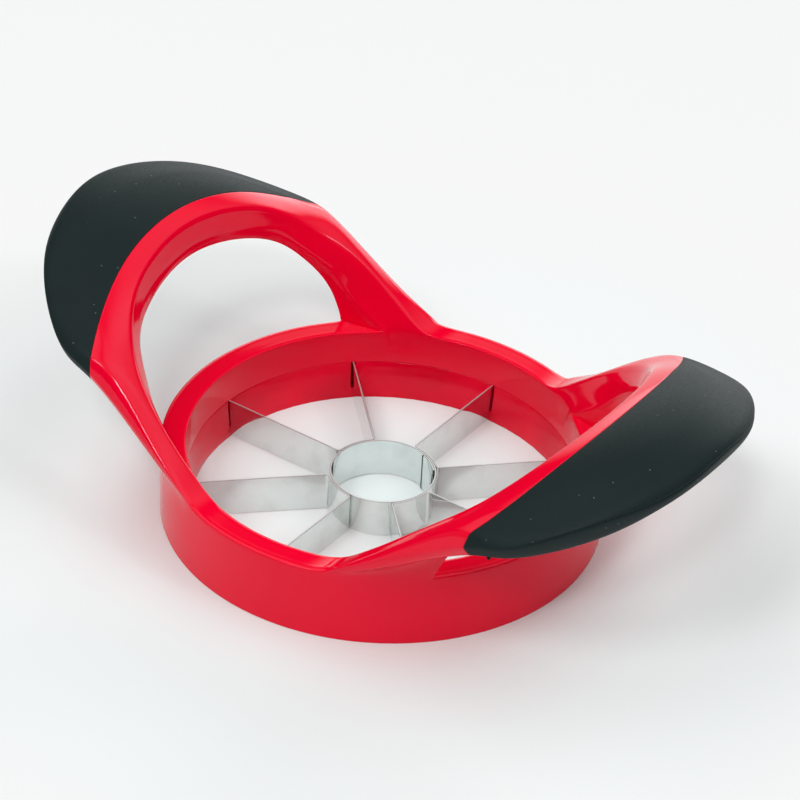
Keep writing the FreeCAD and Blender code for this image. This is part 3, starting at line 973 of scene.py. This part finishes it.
# Painted shadow: the dark line behind the lapped end inside the coring tube.
LAP_SHADOW_STEEL = (0.05, 0.05, 0.055)
PAPER_FIBRE = (0.87, 0.875, 0.875)
PAPER = (0.885, 0.89, 0.89)
# Painted light: a cool tint near the ring that takes out part of the red light it throws on the paper.
BOUNCE_CANCELLING_PAPER = (0.82, 0.91, 0.905)
BACKDROP = (0.9, 0.91, 0.91)
BOUNCE_CANCELLING_REACH = (0.05, 0.15)      # metres from the ring's centre over which the cool tint, painted against the red light that the ring throws on the paper, fades
# How a red surface throws light back: less of it than most plastics, and tinted.
RED_GLOSS = {"Specular IOR Level": 0.27, "Specular Tint": (1.0, 0.82, 0.95, 1.0)}


def red_plastic():
    """Polished red moulding: a trace of flow marks in the colour and a faint ripple in the gloss."""
    material, s = new_material("glossy red moulding")
    place = s.place()
    flow = s.noise(place, 35.0, 4.0)
    ripple = s.noise(place, 260.0, 2.0)
    smudge = s.span(s.noise(place, 90.0, 5.0, 0.6), 0.55, 0.8)
    shader = s.node("ShaderNodeBsdfPrincipled", {}, {
        "Base Color": s.blend(s.span(flow, 0.3, 0.7), RED, DEEP_RED),
        "Roughness": smudge * 0.08 + 0.075,
        **RED_GLOSS,
        "Normal": s.bump(ripple, 0.00002, 0.35)})
    s.finish(shader.out())
    return material


def carrier_plastic():
    """A deeper red moulding with clearer flow marks and a few dark flecks."""
    material, s = new_material("deep red carrier moulding")
    place = s.place()
    flow = s.noise(place, 60.0, 4.0)
    ripple = s.noise(place, 300.0, 2.0)
    fleck = s.specks(place, 170.0, 0.05, 0.1)
    flowed = s.blend(s.span(flow, 0.3, 0.7), DEEP_RED, DARK_RED)
    shader = s.node("ShaderNodeBsdfPrincipled", {}, {
        "Base Color": s.blend(fleck * 0.7, flowed, DARK_FLECK),
        "Roughness": s.span(flow, 0.3, 0.7, 0.06, 0.1),
        **RED_GLOSS,
        "Normal": s.bump(ripple, 0.00002, 0.4)})
    s.finish(shader.out())
    return material


def soft_rubber():
    """Soft-touch black: a fine grain, a green-grey bloom and stray specks of dust."""
    material, s = new_material("soft black grip")
    place = s.place()
    grain = s.noise(place, 2600.0, 2.0)
    bloom = s.noise(place, 45.0, 4.0, 0.6)
    dust = s.specks(place, 620.0, 0.1, 0.14)
    bloomed = s.blend(s.span(bloom, 0.3, 0.7), RUBBER, BLOOMED_RUBBER)
    shader = s.node("ShaderNodeBsdfPrincipled", {}, {
        "Base Color": s.blend(dust * 0.5, bloomed, DUST),
        "Roughness": s.span(grain, 0.3, 0.7, 0.5, 0.64),
        "Specular IOR Level": 0.15,
        "Normal": s.bump(grain, 0.00003, 0.5)})
    s.finish(shader.out())
    return material


def blade_steel():
    """Bright rolled strip: streaks along its length and smudges, duller sheared edges. Painted on it
    are a dark reflection along the edges' rounding and a shadow line at the lapped end.
    """
    material, s = new_material("bright rolled steel")
    place = s.place()
    rolling = s.noise(s.stretched(s.place("UV"), (25.0, 1500.0, 1.0)), 1.0, 3.0)
    smudge = s.span(s.noise(place, 140.0, 5.0, 0.62), 0.5, 0.75)
    upward = s.node("ShaderNodeSeparateXYZ", {}, {"Vector": s.place("Normal")}).out("Z")
    along = s.node("ShaderNodeSeparateXYZ", {}, {"Vector": s.place("UV")}).out("X")
    # A shadow painted dark on the lapped end's last length.
    lap_shadow = s.span(along, LAP_SHADOW_MARK / 2, 0.0, 1.0, 0.0)
    edge = s.span(upward, 0.25, 0.6)
    # A dark reflection painted along the rounding of the upper edges; the smudges and the duller sheared
    # edges are the steel's own.
    painted_edge_reflection = s.span(upward, 0.25, 0.5) - s.span(upward, 0.8, 0.95)
    face = s.blend(smudge, ROLLED_STEEL, SMUDGED_STEEL)
    smudged_with_painted_edge = s.blend(painted_edge_reflection, s.blend(edge, face, EDGE_STEEL), EDGE_REFLECTION_STEEL)
    shader = s.node("ShaderNodeBsdfPrincipled", {}, {
        "Base Color": s.blend(lap_shadow, smudged_with_painted_edge, LAP_SHADOW_STEEL),
        "Metallic": 1.0,
        "Roughness": edge * 0.45 + smudge * 0.08 + s.span(rolling, 0.3, 0.7, 0.035, 0.07),
        "Normal": s.bump(rolling, 0.000002, 0.5, s.bump(s.noise(place, 60.0, 2.0), 0.00003, 0.3))})
    s.finish(shader.out())
    return material


def pale_floor():
    """Matt white paper, painted a little cooler in the middle against the red light that the ring throws on
    it.
    """
    material, s = new_material("matt white paper")
    place = s.place()
    fibre = s.noise(place, 900.0, 4.0)
    reach = s.node("ShaderNodeVectorMath", {"operation": "LENGTH"}, {0: place}).out("Value")
    paper = s.blend(fibre, PAPER_FIBRE, PAPER)
    shader = s.node("ShaderNodeBsdfPrincipled", {}, {
        # The cool tint near the ring is painted against the red light that the ring throws on the paper.
        "Base Color": s.blend(s.span(reach, *BOUNCE_CANCELLING_REACH), BOUNCE_CANCELLING_PAPER, paper),
        "Roughness": 0.9,
        "Specular IOR Level": 0.1})
    s.finish(shader.out())
    return material


def dress(piece, material, slot, *nodes):
    piece.data.materials.clear()
    piece.data.materials.append(material)
    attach(piece, "root")
    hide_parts(*nodes)


STEEL = blade_steel()
STRIP_TREE = strip_tree()
red, carrier_red, black = red_plastic(), carrier_plastic(), soft_rubber()
dress(build_frame(), red, "red_plastic", "frame")
dress(build_carrier(), carrier_red, "carrier_plastic", "blade_carrier")
dress(build_grip("soft_grip_right", 0), black, "soft_grip", "grip_right")
dress(build_grip("soft_grip_left", 180), black, "soft_grip", "grip_left")
dress(build_core(), STEEL, "blade_steel", "core_ring")
for number in (1, 2, 3, 4):
    dress(build_strip(number), STEEL, "blade_steel", "blade_strip_%d" % number)


# ================================================================ floor, light and camera

FLOOR_HALF = 3000.0            # half the floor's width


def build_floor():
    bm = bmesh.new()
    bmesh.ops.create_grid(bm, x_segments=1, y_segments=1, size=FLOOR_HALF)
    floor = mesh_object("floor", bm)
    floor.data.materials.append(pale_floor())


# The object stands in a light tent. A bearing is counted from the camera's side, a height is above
# the horizon. The tent's walls glow round a few places: bearing, height, reach (all in degrees) and
# the light that each sends to the object.
GLOWS = [(150, 13, 24, 0.97), (180, 14, 24, 0.68), (240, 58, 34, 0.64), (60, 58, 34, 0.62),
         (120, 58, 34, 0.52), (300, 58, 34, 0.42), (0, 58, 34, 0.17), (280, 14, 24, 0.08)]
ROOM = 0.02                    # radiance of the tent's walls elsewhere
# Three lamps shine through it: bearing, height, watts and width.
LAMPS = [(315, 52, 44.0, 1.4), (350, 48, 46.0, 0.7), (61, 40, 15.0, 0.6)]
LAMP_DISTANCE = 5.0
AIM = Vector((0.0, 0.0, 0.02))


def away(bearing, height):
    """The direction from the object to a place on the tent."""
    turn = math.radians(bearing + CAMERA_BEARING - 90)
    rise = math.radians(height)
    return Vector((math.cos(turn) * math.cos(rise), math.sin(turn) * math.cos(rise), math.sin(rise)))


def softbox(name, bearing, height, power, width):
    data = bpy.data.lights.new(name, "AREA")
    data.shape = "DISK"
    data.size = width
    data.energy = power
    lamp = bpy.data.objects.new(name, data)
    lamp.location = AIM + away(bearing, height) * LAMP_DISTANCE
    lamp.rotation_mode = "QUATERNION"
    lamp.rotation_quaternion = away(bearing, height).to_track_quat("Z", "Y")
    bpy.context.scene.collection.objects.link(lamp)


# The camera looks along a bearing, from above, turned a little about its own axis.
CAMERA_BEARING = 33.76
CAMERA_PITCH = 34.635
CAMERA_ROLL = 3.147
CAMERA_AIM = Vector((3.03, 43.7, 0.0))     # along the camera's own level axes
CAMERA_DISTANCE = 821.4
CAMERA_LENS = 150.26
CAMERA_SENSOR = 36.0
CAMERA_SEES = (0.05, 20.0)                 # the nearest and farthest that it shows, in metres


def build_camera():
    """Looks along the camera's bearing and pitch at its aim, which lies on the floor."""
    data = bpy.data.cameras.new("camera")
    data.lens = CAMERA_LENS
    data.sensor_width = CAMERA_SENSOR
    data.clip_start, data.clip_end = CAMERA_SEES
    camera = bpy.data.objects.new("camera", data)
    bpy.context.scene.collection.objects.link(camera)
    pitch, roll = math.radians(CAMERA_PITCH), math.radians(CAMERA_ROLL)
    forward = Vector((0, math.cos(pitch), -math.sin(pitch)))
    right, up = Vector((1, 0, 0)), Vector((0, math.sin(pitch), math.cos(pitch)))
    image_right = right * math.cos(roll) + up * math.sin(roll)
    image_up = up * math.cos(roll) - right * math.sin(roll)
    place = (CAMERA_AIM - forward * CAMERA_DISTANCE) * MM
    pose = Matrix((image_right, image_up, -forward)).transposed().to_4x4()
    pose.translation = place
    camera.matrix_world = Matrix.Rotation(math.radians(CAMERA_BEARING), 4, "Z") @ pose
    bpy.context.scene.camera = camera


def build_light():
    """The tent's glowing walls for the object, a plain pale room behind it, and the lamps."""
    world = bpy.data.worlds.new("room")
    bpy.context.scene.world = world
    world.use_nodes = True
    s = Tree(world.node_tree)
    path = s.node("ShaderNodeLightPath")
    shown = s.node("ShaderNodeMath", {"operation": "MAXIMUM"},
                   {0: path.out("Is Camera Ray"), 1: path.out("Is Transmission Ray")}).out()
    glow = ROOM
    for bearing, height, reach, light in GLOWS:
        edge = math.cos(math.radians(reach))
        nearness = s.node("ShaderNodeVectorMath", {"operation": "DOT_PRODUCT"},
                          {0: s.place("Generated"), 1: away(bearing, height)}).out("Value")
        patch = s.node("ShaderNodeMapRange", {"interpolation_type": "SMOOTHSTEP"},
                       {"Value": nearness, "From Min": edge, "From Max": 1.0})
        glow = patch.out("Result") * (light / (math.pi * (1 - edge))) + glow
    room = s.node("ShaderNodeBackground", {}, {"Color": glow, "Strength": 1.0})
    white = s.node("ShaderNodeBackground", {}, {"Color": (*BACKDROP, 1.0), "Strength": 1.0})
    both = s.node("ShaderNodeMixShader", {}, {0: shown, 1: room.out(), 2: white.out()})
    s.finish(both.out(), "ShaderNodeOutputWorld")
    for number, lamp in enumerate(LAMPS, 1):
        softbox("softbox %d" % number, *lamp)


build_floor()
build_camera()
build_light()
bpy.context.scene.view_settings.view_transform = "Standard"
